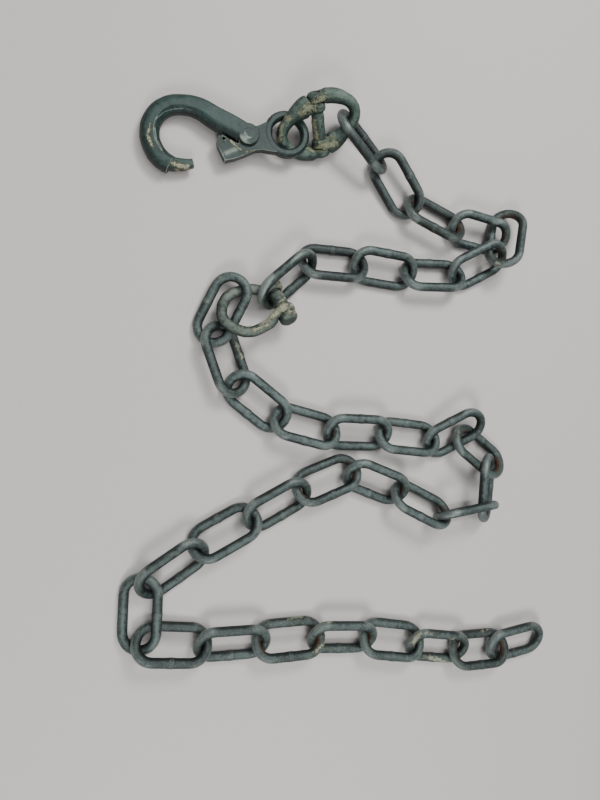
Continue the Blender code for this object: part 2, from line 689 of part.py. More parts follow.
def centre_on_floor(groups):
    """Moves everything so that the middle of the chain's box, at its foot, is the origin."""
    finished = bpy.context.evaluated_depsgraph_get()
    corners = [v.co for item in groups["parts"].objects for v in item.evaluated_get(finished).data.vertices]
    low = [min(corner[axis] for corner in corners) for axis in range(3)]
    high = [max(corner[axis] for corner in corners) for axis in range(3)]
    shift = ((low[0] + high[0]) / 2, (low[1] + high[1]) / 2, low[2])
    for group in groups.values():
        for item in group.objects:
            for vertex in item.data.vertices:
                vertex.co = [value - offset for value, offset in zip(vertex.co, shift)]
            item.data.update()


def main():
    """Lays the chain out and builds every piece."""
    clear_scene()
    groups = {"parts": collection(NAME), "tools": collection(CUTTERS)}
    finishes = {
        "chain": material("weathered_chain_steel", (0.085, 0.105, 0.105), 0.75, 0.55),
        "hook": material("worn_green_hook_paint", (0.060, 0.095, 0.090), 0.35, 0.50),
        "coupling": material("coupling_green_with_clay", (0.150, 0.175, 0.140), 0.35, 0.65),
        "shackle": material("shackle_steel_with_clay", (0.240, 0.240, 0.190), 0.40, 0.70),
    }
    poses = lay_out()
    build_hook(groups, finishes)
    build_coupling(poses["coupling"], groups, finishes)
    build_shackle(poses["shackle"], groups, finishes)
    build_links(poses, groups["parts"], finishes["chain"])
    centre_on_floor(groups)


if __name__ == "__main__":
    main()
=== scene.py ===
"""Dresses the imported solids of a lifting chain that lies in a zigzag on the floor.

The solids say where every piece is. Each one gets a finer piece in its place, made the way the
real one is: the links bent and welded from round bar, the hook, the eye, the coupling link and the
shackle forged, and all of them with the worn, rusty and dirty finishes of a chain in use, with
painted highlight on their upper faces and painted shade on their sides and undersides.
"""

import logging
import math
import random
from dataclasses import dataclass
from enum import Enum
from typing import Iterable, Sequence, Union

import bpy
import numpy as np
from mathutils import Euler, Matrix, Vector


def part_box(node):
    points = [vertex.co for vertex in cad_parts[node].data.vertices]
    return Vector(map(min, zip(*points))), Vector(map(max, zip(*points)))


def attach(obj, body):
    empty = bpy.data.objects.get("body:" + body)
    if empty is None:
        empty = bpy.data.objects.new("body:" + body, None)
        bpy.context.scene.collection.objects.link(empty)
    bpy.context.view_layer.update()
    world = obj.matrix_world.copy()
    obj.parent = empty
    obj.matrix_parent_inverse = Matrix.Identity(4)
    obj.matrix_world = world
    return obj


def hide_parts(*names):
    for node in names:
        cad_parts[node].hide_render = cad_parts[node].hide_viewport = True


LOG = logging.getLogger("lifting_chain")
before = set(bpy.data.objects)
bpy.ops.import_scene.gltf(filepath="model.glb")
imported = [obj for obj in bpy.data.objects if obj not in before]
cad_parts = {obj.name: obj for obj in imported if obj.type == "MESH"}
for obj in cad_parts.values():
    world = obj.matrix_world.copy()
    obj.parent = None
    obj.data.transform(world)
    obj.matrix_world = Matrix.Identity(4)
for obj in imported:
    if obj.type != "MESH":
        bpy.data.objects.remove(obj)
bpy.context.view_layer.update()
MEAN = 0.5  # of every noise
TINY = 1e-9  # added to a length before it divides
DECIMALS = 6  # of a metre, to which points are the same

Value = Union[float, "Shade"]
Colour = tuple[float, float, float]
Paint = Union[Colour, "Shade"]
Place = tuple[float, float, float]
Pair = tuple[float, float]
Piece = bpy.types.Object
Mesh = bpy.types.Mesh
Array = np.ndarray


class Body(Enum):
    """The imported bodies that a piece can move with."""

    CHAIN = "chain"
    HOOK = "hook"


class Slot(Enum):
    """The record's material slots."""

    LINKS = "weathered_chain_steel"
    HOOK = "worn_green_hook_paint"
    COUPLING = "coupling_green_with_clay"
    SHACKLE = "shackle_steel_with_clay"


class Mask(Enum):
    """What every point of a mesh carries for its finish, each from 0 to 1."""

    UP = "up"
    EDGE = "edge"
    RUST = "rust"
    CLAY = "clay"
    WEAR = "wear"
    TINT = "tint"
    SOOT = "soot"


class Waves(Enum):
    """The noises of a finish: waves to the metre, octaves, the share that each keeps, and drift."""

    BROAD = (26.0, 3.0, 0.55, 0.0)
    MOTTLE = (210.0, 6.0, 0.70, 0.3)
    CRUMBLE = (620.0, 6.0, 0.74, 0.7)
    GRAIN = (1100.0, 4.0, 0.66, 0.0)
    PITS = (2600.0, 3.0, 0.55, 0.0)


class Layer(Enum):
    """The layers of a finish, from the lowest to the topmost."""

    SCALE = (0.38, 0.60)
    SHEEN = (0.46, 0.70, 0.70)
    BROWN = (0.25, 0.75, 0.75)
    TOPS = (0.82, 0.99, 0.80)
    STAIN = (0.40, 0.58, 0.50)
    UNDERSIDE = (0.10, 0.42)
    GRIME = (0.0, 1.0, 0.85)
    WEAR = (1.10, 1.42, 0.80, 0.40, 0.40)
    SPECKS = (0.565, 0.66)
    SPECKED_SIDE = (0.30, 0.70)
    DUST = (1.16, 1.42, 0.55, 0.35, 0.25)
    RUST = (0.96, 1.20, 0.80, 0.42, 0.36)
    RUST_GRAIN = (0.44, 0.68)
    CLAY = (0.46, 0.80, 0.92)
    CLAY_GRAIN = (0.40, 0.60)

    def __init__(self, begins: float, full: float, cover: float = 1.0, sooner: float = 0.0,
                 fuller: float = 0.0) -> None:
        """Names a layer's numbers.

        Args:
            begins: value of its mask at which it begins.
            full: value at which it is full.
            cover: how much it covers where it is full.
            sooner: how far the most of it brings down where it begins.
            fuller: how far the most of it brings down where it is full.
        """
        self.begins, self.full, self.cover = begins, full, cover
        self.sooner, self.fuller = sooner, fuller


class Shade:
    """One output of a shader node. Sums written on it add Math nodes."""

    def __init__(self, board: "Board", socket: bpy.types.NodeSocket | None) -> None:
        """Keeps the socket and the board that it is on."""
        self.board = board
        self.socket = socket

    def __add__(self, other: Value) -> "Shade":
        """Adds two values."""
        return self.board.maths("ADD", self, other)

    def __radd__(self, other: Value) -> "Shade":
        """Adds a number that stands on the left."""
        return self.board.maths("ADD", other, self)

    def __sub__(self, other: Value) -> "Shade":
        """Takes a value away."""
        return self.board.maths("SUBTRACT", self, other)

    def __rsub__(self, other: Value) -> "Shade":
        """Takes this value away from a number."""
        return self.board.maths("SUBTRACT", other, self)

    def __mul__(self, other: Value) -> "Shade":
        """Multiplies two values."""
        return self.board.maths("MULTIPLY", self, other)

    def __rmul__(self, other: Value) -> "Shade":
        """Multiplies by a number that stands on the left."""
        return self.board.maths("MULTIPLY", other, self)


class Board:
    """The node tree of a material or of the world, with a single method that adds any node."""

    FIRST_COLOUR, SECOND_COLOUR, MIXED_COLOUR = 6, 7, 2  # sockets of a Mix node

    def __init__(self, owner: bpy.types.Material | bpy.types.World) -> None:
        """Starts the tree of a material or world afresh."""
        owner.use_nodes = True
        self.tree = owner.node_tree
        self.tree.nodes.clear()

    def node(self, kind: str, settings: dict | None = None, inputs: dict | None = None,
             output: int | str = 0) -> Shade:
        """Adds a node.

        Args:
            kind: the node's type.
            settings: what is set on the node itself, first of all.
            inputs: values or shades for its sockets, by name or number.
            output: the socket that the shade stands for.

        Returns:
            The chosen output.
        """
        made = self.tree.nodes.new(kind)
        for key, value in (settings or {}).items():
            setattr(made, key, value)
        for key, value in (inputs or {}).items():
            if isinstance(value, Shade):
                self.tree.links.new(value.socket, made.inputs[key])
            else:
                made.inputs[key].default_value = value
        return Shade(self, made.outputs[output] if len(made.outputs) else None)

    def maths(self, operation: str, left: Value, right: Value) -> Shade:
        """Adds one Math node and returns its value."""
        return self.node("ShaderNodeMath", {"operation": operation}, {0: left, 1: right})

    def noise(self, place: Shade, waves: Waves) -> Shade:
        """One of the noises at a place."""
        scale, detail, rough, drift = waves.value
        return self.node("ShaderNodeTexNoise", inputs={"Vector": place, "Scale": scale, "Detail": detail,
                                                       "Roughness": rough, "Distortion": drift})

    def attribute(self, mask: Mask) -> Shade:
        """What the mesh carries at each point."""
        return self.node("ShaderNodeAttribute", {"attribute_name": mask.value}, output="Fac")

    def spread(self, layer: Layer, value: Value, most: float = 0.0) -> Shade:
        """Where a layer lies.

        Args:
            layer: the layer.
            value: the sum of noises and masks that it follows.
            most: how near the finish comes to having the most of it.

        Returns:
            A soft step from 0, where it begins, to 1, where it is full.
        """
        begins, full = layer.begins - most * layer.sooner, layer.full - most * layer.fuller
        return self.node("ShaderNodeMapRange", {"interpolation_type": "SMOOTHSTEP"},
                         {0: value, 1: begins, 2: full, 3: 0.0, 4: 1.0})

    def mix(self, share: Value, first: Paint, second: Paint) -> Shade:
        """Mixes two colours, the second by its share."""
        inputs = {0: share}
        for key, colour in ((self.FIRST_COLOUR, first), (self.SECOND_COLOUR, second)):
            inputs[key] = colour if isinstance(colour, Shade) else (*colour, 1.0)
        return self.node("ShaderNodeMix", {"data_type": "RGBA"}, inputs, self.MIXED_COLOUR)

    def coat(self, below: Shade, layer: Layer, where: Shade, colour: Paint) -> Shade:
        """Lays a layer over the colour below it, as far as it covers."""
        return self.mix(where * layer.cover, below, colour)

    def surface(self, inputs: dict) -> None:
        """Joins the material's one shader, with these inputs, to its output."""
        shader = self.node("ShaderNodeBsdfPrincipled", inputs=inputs)
        self.node("ShaderNodeOutputMaterial", inputs={"Surface": shader})


@dataclass(frozen=True)
class WornSteel:
    """Old forged steel: scale or paint, worn along its edges, rusty where wet, and dirty, with painted
    highlight on upper faces and painted shade on its sides and undersides.
    """

    name: str
    deep: Colour
    body: Colour
    light: Colour
    bright: Colour
    metal: float
    gloss: float
    umber: Colour = (0.058, 0.046, 0.030)
    rust: Colour = (0.060, 0.030, 0.016)
    orange: Colour = (0.165, 0.078, 0.034)
    clay: Colour = (0.500, 0.490, 0.335)
    dust: Colour = (0.215, 0.215, 0.170)
    dusty: float = 0.35
    rusty: float = 0.50
    worn: float = 0.50
    caked: float = 0.0
    specked: float = 0.30
    # Share of the deep colour's light that is kept where soot and painted shade darken the sides and
    # undersides.
    soot_and_shade_share: float = 0.60
    damp_clay: float = 0.42
    bump: float = 0.9
    bump_depth: float = 0.0008

    def material(self) -> bpy.types.Material:
        """Builds the finish, layer upon layer. What a noise or mask is multiplied by is its share in a sum.

        Returns:
            The material.
        """
        material = bpy.data.materials.new(self.name)
        board = Board(material)
        place = board.node("ShaderNodeTexCoord", output="Object")
        broad, mottle, crumble, grain, pits = (board.noise(place, waves) for waves in Waves)
        up, edge, damp, mud_and_highlit, rubbed_and_highlit, tint, soot = (board.attribute(mask) for mask in Mask)
        blotch, crumbs, grit = mottle - MEAN, crumble - MEAN, grain - MEAN
        spread, mix, coat = board.spread, board.mix, board.coat
        colour = mix(spread(Layer.SCALE, mottle * 0.65 + grain * 0.35), self.deep, self.body)
        colour = coat(colour, Layer.SHEEN, spread(Layer.SHEEN, grain * 0.55 + broad * 0.45), self.light)
        colour = coat(colour, Layer.BROWN, tint * spread(Layer.BROWN, mottle), self.umber)
        # Painted highlight: faces that look up are made lighter, as if lit from above.
        painted_top_highlight = spread(Layer.TOPS, up + blotch * 0.40 + grit * 0.30)
        colour = coat(colour, Layer.TOPS, painted_top_highlight, self.light)
        stained = 1.0 - spread(Layer.STAIN, broad * 0.52 + mottle * 0.48)
        colour = coat(colour, Layer.STAIN, stained, self.deep)
        # Painted shade: sides and undersides are darkened as if in shadow, and the soot of each piece darkens
        # it as well.
        painted_underside_shade = spread(Layer.UNDERSIDE, 1.0 - up + blotch * 0.20)
        soot_and_painted_shade = spread(Layer.GRIME, soot * 0.62 + painted_underside_shade * 1.05)
        colour = coat(colour, Layer.GRIME, soot_and_painted_shade, self.darker(self.deep, self.soot_and_shade_share))

        # On the links this worn mask also holds painted highlights, from their wear streaks.
        worn = spread(Layer.WEAR, edge * 0.95 + rubbed_and_highlit * 0.75 + grain * 0.55 + crumble * 0.30, self.worn)
        colour = coat(colour, Layer.WEAR, worn, self.bright)
        specks = spread(Layer.SPECKS, crumble * 0.55 + pits * 0.45 + (broad - MEAN) * 0.20) * self.specked
        colour = mix(specks * spread(Layer.SPECKED_SIDE, up), colour, self.bright)
        dusty = spread(Layer.DUST, up * 0.50 + mottle * 0.55 + crumble * 0.45, self.dusty) * Layer.DUST.cover
        colour = mix(dusty, colour, self.dust)
        rusted = spread(Layer.RUST, damp * 0.62 + mottle * 0.50 + crumble * 0.25, self.rusty)
        rust = mix(spread(Layer.RUST_GRAIN, grain), self.rust, self.orange)
        colour = coat(colour, Layer.RUST, rusted, rust)
        # On the links two of the clay streaks are painted highlights.
        muddy = spread(Layer.CLAY, mud_and_highlit * 1.05 + self.caked + blotch * 1.5 + crumbs * 1.6 + grit * 1.2)
        dark_earth = self.darker(self.clay, self.damp_clay)
        earth = mix(spread(Layer.CLAY_GRAIN, grain * 0.5 + crumble * 0.5), dark_earth, self.clay)
        colour = coat(colour, Layer.CLAY, muddy, earth)

        rough = self.gloss + grain * 0.25 + dusty * 0.3 + rusted * 0.30 + muddy * 0.40 - worn * 0.08
        metal = (1.0 - rusted) * (1.0 - muddy) * (1.0 - dusty) * self.metal
        height = grain * 0.30 + pits * 0.20 + mottle * 0.55 + rusted * grain * 0.5
        height = height + muddy * (0.8 + grain * 0.6)
        normal = board.node("ShaderNodeBump",
                            inputs={"Strength": self.bump, "Distance": self.bump_depth, "Height": height})
        board.surface({"Base Color": colour, "Roughness": rough, "Metallic": metal, "Normal": normal})
        return material

    @staticmethod
    def darker(colour: Colour, share: float) -> Colour:
        """A colour with only a share of its light."""
        return tuple(part * share for part in colour)


def add_object(name: str, data: bpy.types.ID) -> Piece:
    """Adds an object to the scene, with its mesh, curve, light or camera."""
    made = bpy.data.objects.new(name, data)
    bpy.context.scene.collection.objects.link(made)
    return made


@dataclass(frozen=True)
class PhotographView:
    """The camera as it stood over the floor, given from the pivot of the hook."""

    height: float = 0.660
    lens: float = 26.0
    sensor: float = 36.0
    nearest: float = 0.01
    focal_pixels: float = 578.0
    middle: Pair = (300.0, 400.0)
    pivot_from_foot: Pair = (0.129, 0.295)
    right: Place = (0.9540, 0.03348, 0.29789)
    up: Place = (-0.03197, 0.99944, -0.00998)
    forward: Place = (0.29806, 0.0, -0.95454)

    def place(self) -> Vector:
        """Where the camera stands."""
        low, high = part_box("hook_rivet")
        pivot = (low + high) / 2
        return Vector((pivot.x - self.pivot_from_foot[0], pivot.y - self.pivot_from_foot[1], self.height))

    def seen(self, points: Array, normals: Array) -> tuple[Array, Array]:
        """Where the photograph shows points, and how squarely each faces the camera.

        Args:
            points: places in the row frame.
            normals: the surface's direction at each.

        Returns:
            Pixels across and down, and the cosine of each point's angle to the camera.
        """
        rays = points - np.array(self.place())
        depth = rays @ np.array(self.forward)
        across = self.middle[0] + self.focal_pixels * (rays @ np.array(self.right)) / depth
        down = self.middle[1] - self.focal_pixels * (rays @ np.array(self.up)) / depth
        facing = -(normals * rays).sum(axis=1) / np.linalg.norm(rays, axis=1)
        return np.column_stack((across, down)), facing

    def stand_camera(self) -> None:
        """Adds the camera."""
        camera = bpy.data.cameras.new("photograph_view")
        camera.lens = self.lens
        camera.sensor_width = self.sensor
        camera.clip_start = self.nearest
        holder = add_object("photograph_view", camera)
        turn = Matrix((self.right, self.up, tuple(-part for part in self.forward))).transposed()
        holder.matrix_world = Matrix.Translation(self.place()) @ turn.to_4x4()
        bpy.context.scene.camera = holder


@dataclass(frozen=True)
class Streak:
    """A streak of dirt, rust, wear and, on the links, painted highlight, from one pixel of the photograph to
    another.
    """

    across: float
    down: float
    to_across: float
    to_down: float
    reach: float
    strength: float


def streaks(*rows: Sequence[float]) -> tuple[Streak, ...]:
    """Streaks from rows of their numbers."""
    return tuple(Streak(*row) for row in rows)


@dataclass(frozen=True)
class Marks:
    """Everything that the photograph shows on one piece's surface."""

    clay: Sequence[Streak]
    wear: Sequence[Streak]
    rust: Sequence[Streak] = ()


@dataclass(frozen=True)
class Finish:
    """A material, the record's slot that it goes by, and the marks that the photograph shows on it."""

    material: bpy.types.Material
    slot: Slot
    marks: Marks


@dataclass(frozen=True)
class Soiling:
    """How rusty, brown and dark a whole piece is, and how much dried dirt its upper side has, from 0 to 1."""

    rust: Array | float
    tint: float
    soot: float = 0.0
    dirt: float = 0.0


@dataclass(frozen=True)
class Forging:
    """The grid that a piece is remade on, its rounds of smoothing, and how deep its dents are, in metres."""

    voxel: float
    smoothing: int
    dents: float = 0.0


def rise(values: Array, start: float | Array, length: float | Array) -> Array:
    """Rises from 0 at the start to 1 a length further on."""
    return np.clip((values - start) / length, 0.0, 1.0)


def fall(values: Array, end: float, length: float) -> Array:
    """Falls from 1, a length before the end, to 0 at the end."""
    return rise(-values, -end, length)


def smooth(share: Array) -> Array:
    """Eases a share in and out."""
    return share * share * (3.0 - 2.0 * share)


def main_axes(node: str) -> tuple[Vector, list[Vector]]:
    """Middle of a solid's points, and their main axes with the longest first."""
    points = np.array([tuple(vertex.co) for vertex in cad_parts[node].data.vertices])
    points = np.unique(points.round(DECIMALS), axis=0)
    _, _, axes = np.linalg.svd(points - points.mean(0), full_matrices=False)
    return Vector(points.mean(0)), [Vector(axis) for axis in axes]


class Spindle:
    """The axis of a round solid."""

    def __init__(self, node: str) -> None:
        """Finds the axis of a solid."""
        middle, axes = main_axes(node)
        self.middle, self.axis = np.array(middle), np.array(axes[0])

    def split(self, points: Array) -> tuple[Array, Array, Array]:
        """Places about the axis.

        Args:
            points: places in the row frame.

        Returns:
            How far along the axis each is, its spoke out from the axis, and the spoke's length.
        """
        away = points - self.middle
        along = away @ self.axis
        spoke = away - np.outer(along, self.axis)
        return along, spoke, np.linalg.norm(spoke, axis=1)


@dataclass(frozen=True)
class Bench:
    """The bench that pieces are made on: selecting, modifiers and the marks on a mesh."""

    view: PhotographView
    merged: float = 0.00001
    edge_gain: float = 6.0
    facing_gain: float = 2.5
    facing_start: float = 0.2
    shortest_run: float = 1e-6
    dirt_holds_from: float = 0.25
    smoothing: float = 0.5
    dent_size: float = 0.007
    path_steps: int = 8

    @staticmethod
    def clear_selection() -> None:
        """Deselects everything and leaves edit mode."""
        if bpy.context.object is not None and bpy.context.object.mode != "OBJECT":
            bpy.ops.object.mode_set(mode="OBJECT")
        bpy.ops.object.select_all(action="DESELECT")

    @staticmethod
    def take(piece: Piece) -> None:
        """Makes one piece the only selected and the active one."""
        Bench.clear_selection()
        piece.select_set(True)
        bpy.context.view_layer.objects.active = piece

    @staticmethod
    def open_up() -> None:
        """Enters edit mode with the whole mesh selected."""
        bpy.ops.object.mode_set(mode="EDIT")
        bpy.ops.mesh.select_all(action="SELECT")

    @staticmethod
    def close_up(merged: float = 0.0) -> None:
        """Merges points this near each other, turns all faces outwards and leaves edit mode."""
        bpy.ops.mesh.select_all(action="SELECT")
        if merged > 0.0:
            bpy.ops.mesh.remove_doubles(threshold=merged)
        bpy.ops.mesh.normals_make_consistent(inside=False)
        bpy.ops.object.mode_set(mode="OBJECT")

    @staticmethod
    def apply(piece: Piece, kind: str, **settings: object) -> None:
        """Adds a modifier and applies it.

        Args:
            piece: the piece it shapes.
            kind: the modifier's type.
            **settings: what is set on it.
        """
        Bench.take(piece)
        modifier = piece.modifiers.new(kind.lower(), kind)
        for key, value in settings.items():
            setattr(modifier, key, value)
        bpy.ops.object.modifier_apply(modifier=modifier.name)

    @staticmethod
    def points(mesh: Mesh) -> Array:
        """Every point of a mesh."""
        values = np.zeros(len(mesh.vertices) * 3)
        mesh.vertices.foreach_get("co", values)
        return values.reshape(-1, 3)

    @staticmethod
    def move(mesh: Mesh, points: Array) -> None:
        """Moves every point of a mesh to its new place."""
        mesh.vertices.foreach_set("co", points.ravel())
        mesh.update()

    @staticmethod
    def normals(mesh: Mesh) -> Array:
        """The normal at every point of a mesh."""
        values = np.zeros(len(mesh.vertices) * 3, np.float32)
        mesh.vertex_normals.foreach_get("vector", values)
        return values.reshape(-1, 3).astype(float)

    @staticmethod
    def mark(mesh: Mesh, mask: Mask, values: Array) -> None:
        """Writes one number at each point of a mesh."""
        layer = mesh.attributes.get(mask.value) or mesh.attributes.new(mask.value, "FLOAT", "POINT")
        layer.data.foreach_set("value", np.clip(values, 0.0, 1.0).astype(np.float32))

    def sharpness(self, mesh: Mesh, points: Array, normals: Array) -> Array:
        """How far each point stands out from its neighbours: edges are near 1."""
        ends = np.zeros(len(mesh.edges) * 2, np.int32)
        mesh.edges.foreach_get("vertices", ends)
        ends = ends.reshape(-1, 2)
        bend, count = np.zeros(len(points)), np.zeros(len(points))
        for here, there in ((0, 1), (1, 0)):
            a, b = ends[:, here], ends[:, there]
            step = points[b] - points[a]
            length = np.linalg.norm(step, axis=1) + TINY
            np.add.at(bend, a, -(normals[a] * step).sum(1) / length)
            np.add.at(count, a, 1.0)
        return np.clip(bend / np.maximum(count, 1.0) * self.edge_gain, 0.0, 1.0)

    def streaked(self, points: Array, normals: Array, marks: Iterable[Streak]) -> Array:
        """How strongly the streaks mark each point that faces the camera."""
        marked = np.zeros(len(points))
        spots, facing = self.view.seen(points, normals)
        for streak in marks:
            start = np.array((streak.across, streak.down))
            run = np.array((streak.to_across, streak.to_down)) - start
            share = np.clip((spots - start) @ run / max(float(run @ run), self.shortest_run), 0.0, 1.0)
            away = np.linalg.norm(spots - start - share[:, None] * run, axis=1)
            marked = np.maximum(marked, np.clip(1.0 - away / streak.reach, 0.0, 1.0) * streak.strength)
        return marked * np.clip(facing * self.facing_gain + self.facing_start, 0.0, 1.0)

    def dress(self, mesh: Mesh, finish: Finish, soiling: Soiling) -> None:
        """Marks a mesh and gives it its material. Nothing is left below the floor.

        Args:
            mesh: the mesh of a finished piece.
            finish: its material and marks.
            soiling: how rusty and dirty the whole piece is.
        """
        points, marks = self.points(mesh), finish.marks
        points[:, 2] = np.maximum(points[:, 2], 0.0)
        self.move(mesh, points)
        points, normals = self.points(mesh), self.normals(mesh)
        even = np.zeros(len(points))
        scattered = np.clip(normals[:, 2] - self.dirt_holds_from, 0.0, 1.0) * soiling.dirt
        for mask, values in (
                (Mask.UP, normals[:, 2] * 0.5 + 0.5),
                (Mask.EDGE, self.sharpness(mesh, points, normals)),
                (Mask.RUST, np.maximum(even + soiling.rust, self.streaked(points, normals, marks.rust))),
                (Mask.CLAY, np.maximum(scattered, self.streaked(points, normals, marks.clay))),
                (Mask.WEAR, self.streaked(points, normals, marks.wear)),
                (Mask.TINT, even + soiling.tint),
                (Mask.SOOT, even + soiling.soot)):
            self.mark(mesh, mask, values)
        mesh.materials.clear()
        mesh.materials.append(finish.material)

    @staticmethod
    def hand_over(piece: Piece, body: Body, slot: Slot, *nodes: str) -> None:
        """Makes a piece stand for its solids and move with a body."""
        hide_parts(*nodes)
        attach(piece, body.value)
        LOG.info("%s stands for %s", piece.name, ", ".join(nodes))

    def complete(self, piece: Piece, finish: Finish, soiling: Soiling, node: str,
                 body: Body = Body.CHAIN) -> None:
        """Dresses a piece and hands it over.

        Args:
            piece: the piece, with its place in its mesh.
            finish: its material, slot and marks.
            soiling: how rusty and dirty the whole piece is.
            node: the solid that it stands for.
            body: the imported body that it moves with.
        """
        self.dress(piece.data, finish, soiling)
        self.hand_over(piece, body, finish.slot, node)

    def forged_copy(self, name: str, node: str) -> Piece:
        """A copy of a solid with its triangles merged, ready to be forged smooth.

        Args:
            name: the new piece's name.
            node: the solid that it copies.

        Returns:
            The copy.
        """
        piece = add_object(name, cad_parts[node].data.copy())
        self.take(piece)
        self.open_up()
        bpy.ops.mesh.remove_doubles(threshold=self.merged)
        bpy.ops.mesh.customdata_custom_splitnormals_clear()
        bpy.ops.object.mode_set(mode="OBJECT")
        return piece

    def forge(self, piece: Piece, forging: Forging) -> None:
        """Runs a piece's forms into each other and leaves its surface a little uneven.

        Args:
            piece: the piece, which gets a new mesh.
            forging: how finely and smoothly it is made.
        """
        self.apply(piece, "REMESH", mode="VOXEL", voxel_size=forging.voxel)
        self.apply(piece, "SMOOTH", factor=self.smoothing, iterations=forging.smoothing)
        if forging.dents > 0.0:
            texture = bpy.data.textures.new(f"{piece.name}_dents", "CLOUDS")
            texture.noise_scale = self.dent_size
            self.apply(piece, "DISPLACE", texture=texture, texture_coords="LOCAL", strength=forging.dents,
                       mid_level=MEAN)
        self.take(piece)
        bpy.ops.object.shade_smooth()

    def swell(self, piece: Piece, amounts: Array) -> None:
        """Thickens a piece along its normals, each point by its own amount in metres."""
        most = float(amounts.max())
        group = piece.vertex_groups.new(name="swell")
        for index, amount in enumerate(amounts):
            if amount > 0.0:
                group.add((index,), float(amount) / most, "REPLACE")
        self.apply(piece, "DISPLACE", vertex_group="swell", strength=most, mid_level=0.0)
        piece.vertex_groups.clear()

    def combine(self, piece: Piece, tools: Iterable[Piece], operation: str) -> None:
        """Joins tools to a piece or cuts them away, and clears them up."""
        for tool in tools:
            self.apply(piece, "BOOLEAN", operation=operation, solver="EXACT", object=tool)
            bpy.data.objects.remove(tool)

    def turned(self, name: str, profile: Sequence[Pair], sides: int) -> Piece:
        """Turns a round piece along Z, as on a lathe.

        Args:
            name: the new piece's name.
            profile: pairs of place along Z and radius, from the bottom up.
            sides: sides of the round.

        Returns:
            The piece, closed at both ends.
        """
        self.clear_selection()
        here, wide = profile[0]
        bpy.ops.mesh.primitive_circle_add(vertices=sides, radius=wide, fill_type="NGON",
                                          location=(0.0, 0.0, here))
        piece = bpy.context.object
        piece.name = name
        bpy.ops.object.transform_apply(location=True, rotation=True, scale=True)
        self.open_up()
        for height, radius in profile[1:]:
            bpy.ops.mesh.extrude_region_move(TRANSFORM_OT_translate={"value": (0.0, 0.0, height - here)})
            ratio = radius / wide
            bpy.ops.transform.resize(value=(ratio, ratio, 1.0), center_override=(0.0, 0.0, height))
            here, wide = height, radius
        self.close_up()
        return piece

    def drawn_bar(self, name: str, rows: Sequence[Place], section: Sequence[Pair]) -> Piece:
        """Draws a bar of one section along a smooth path in the XY plane.

        Args:
            name: the new piece's name.
            rows: place on the path and half-width of the bar there.
            section: outline of the section, with a half-width of 1.

        Returns:
            The bar as a closed mesh.
        """
        outline = bpy.data.curves.new(f"{name}_section", "CURVE")
        outline.dimensions = "2D"
        edge = outline.splines.new("POLY")
        edge.points.add(len(section) - 1)
        for point, (across, level) in zip(edge.points, section):
            point.co = (across, level, 0.0, 1.0)
        edge.use_cyclic_u = True
        shape = add_object(outline.name, outline)
        path = bpy.data.curves.new(name, "CURVE")
        path.dimensions = "3D"
        path.twist_mode = "Z_UP"
        path.bevel_mode = "OBJECT"
        path.bevel_object = shape
        path.use_fill_caps = True
        path.resolution_u = self.path_steps
        run = path.splines.new("BEZIER")
        run.bezier_points.add(len(rows) - 1)
        for point, (x, y, half) in zip(run.bezier_points, rows):
            point.co = (x, y, 0.0)
            point.radius = half
            point.handle_left_type = point.handle_right_type = "AUTO"
        run.radius_interpolation = "CARDINAL"
        self.take(add_object(name, path))
        bpy.ops.object.convert(target="MESH")
        bpy.data.objects.remove(shape)
        self.open_up()
        self.close_up(2 * self.merged)
        return bpy.context.object


@dataclass(frozen=True)
class Graded:
    """An amount that most links share, the groups of links that have another, and how far each may stray."""

    usual: float
    groups: Sequence[tuple[float, Sequence[int]]]
    stray: Pair = (0.0, 0.0)

    def of(self, number: int) -> float:
        """A link's amount before it strays."""
        return next((amount for amount, group in self.groups if number in group), self.usual)

    def drawn(self, number: int, chance: random.Random) -> float:
        """A link's amount, strayed by one draw."""
        return self.of(number) + chance.uniform(*self.stray)


